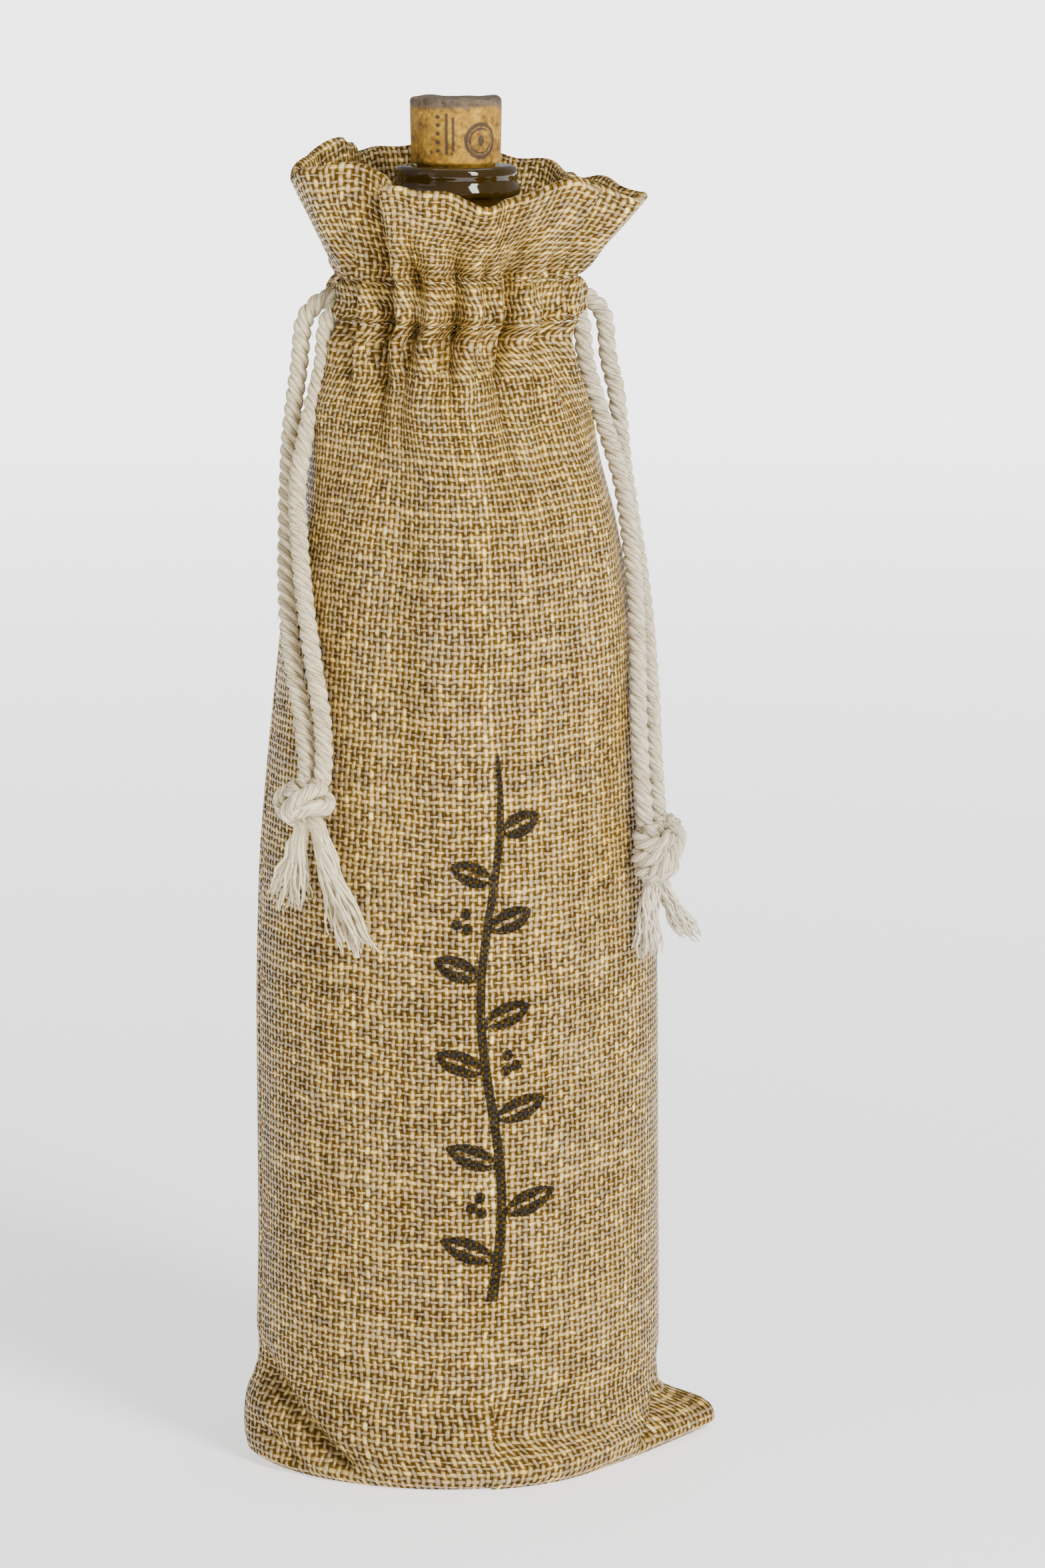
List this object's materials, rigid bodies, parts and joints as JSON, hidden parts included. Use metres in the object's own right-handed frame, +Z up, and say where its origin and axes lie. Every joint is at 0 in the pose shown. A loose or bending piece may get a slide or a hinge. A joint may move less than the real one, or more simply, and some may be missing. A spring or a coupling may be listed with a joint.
{
  "type": "wine gift bag",
  "caption": "Woven linen-look drawstring gift bag standing round a corked wine bottle, with a gathered frill, twisted cotton cords, knots and tassels.",
  "frame": {"origin": "centre of the base, on the surface that the bag stands on", "axes": "+Z up along the bottle; the printed front faces -Y; the side seams and cord exits are at -X and +X"},
  "size_m": [0.126, 0.0826, 0.3339],
  "materials": {
    "linen": "coarse plain weave, imitation linen with a slight sheen",
    "hem_linen": "coarse plain weave, imitation linen",
    "thread": "pale sewing thread",
    "cotton": "soft twisted cotton, slightly fuzzy",
    "glass": "dark olive bottle glass, glossy",
    "wine": "dark red wine",
    "cork": "natural cork with dark pits, matte"
  },
  "bodies": {
    "bag": {"front_panel": "linen", "back_panel": "linen", "front_hem": "hem_linen", "back_hem": "hem_linen", "left_side_seam": "hem_linen", "right_side_seam": "hem_linen", "bottom_seam": "hem_linen", "left_seam_thread": "thread", "right_seam_thread": "thread", "bottom_seam_thread": "thread", "upper_stitching": "thread", "lower_stitching": "thread", "left_cord_loop": "cotton", "right_cord_loop": "cotton"},
    "bottle": {"bottle": "glass", "wine": "wine"},
    "cork": {"cork": "cork"},
    "left_cord": {"left_strand_front": "cotton", "left_strand_back": "cotton", "left_knot": "cotton", "left_tassel": "cotton"},
    "right_cord": {"right_strand_front": "cotton", "right_strand_back": "cotton", "right_knot": "cotton", "right_tassel": "cotton"}
  },
  "joints": [
    {"name": "bottle_lift", "type": "slide", "parent": "bag", "child": "bottle", "axis": [0, 0, 1], "range_m": [0, 0.028]},
    {"name": "cork_pull", "type": "slide", "parent": "bottle", "child": "cork", "axis": [0, 0, 1], "range_m": [0, 0.0275]},
    {"name": "left_cord_swing", "type": "hinge", "parent": "bag", "child": "left_cord", "pos_m": [-0.0365, 0, 0.2725], "axis": [0, 1, 0], "range_deg": [0, 75]},
    {"name": "right_cord_swing", "type": "hinge", "parent": "bag", "child": "right_cord", "pos_m": [0.036, 0, 0.2725], "axis": [0, -1, 0], "range_deg": [0, 75]}
  ]
}
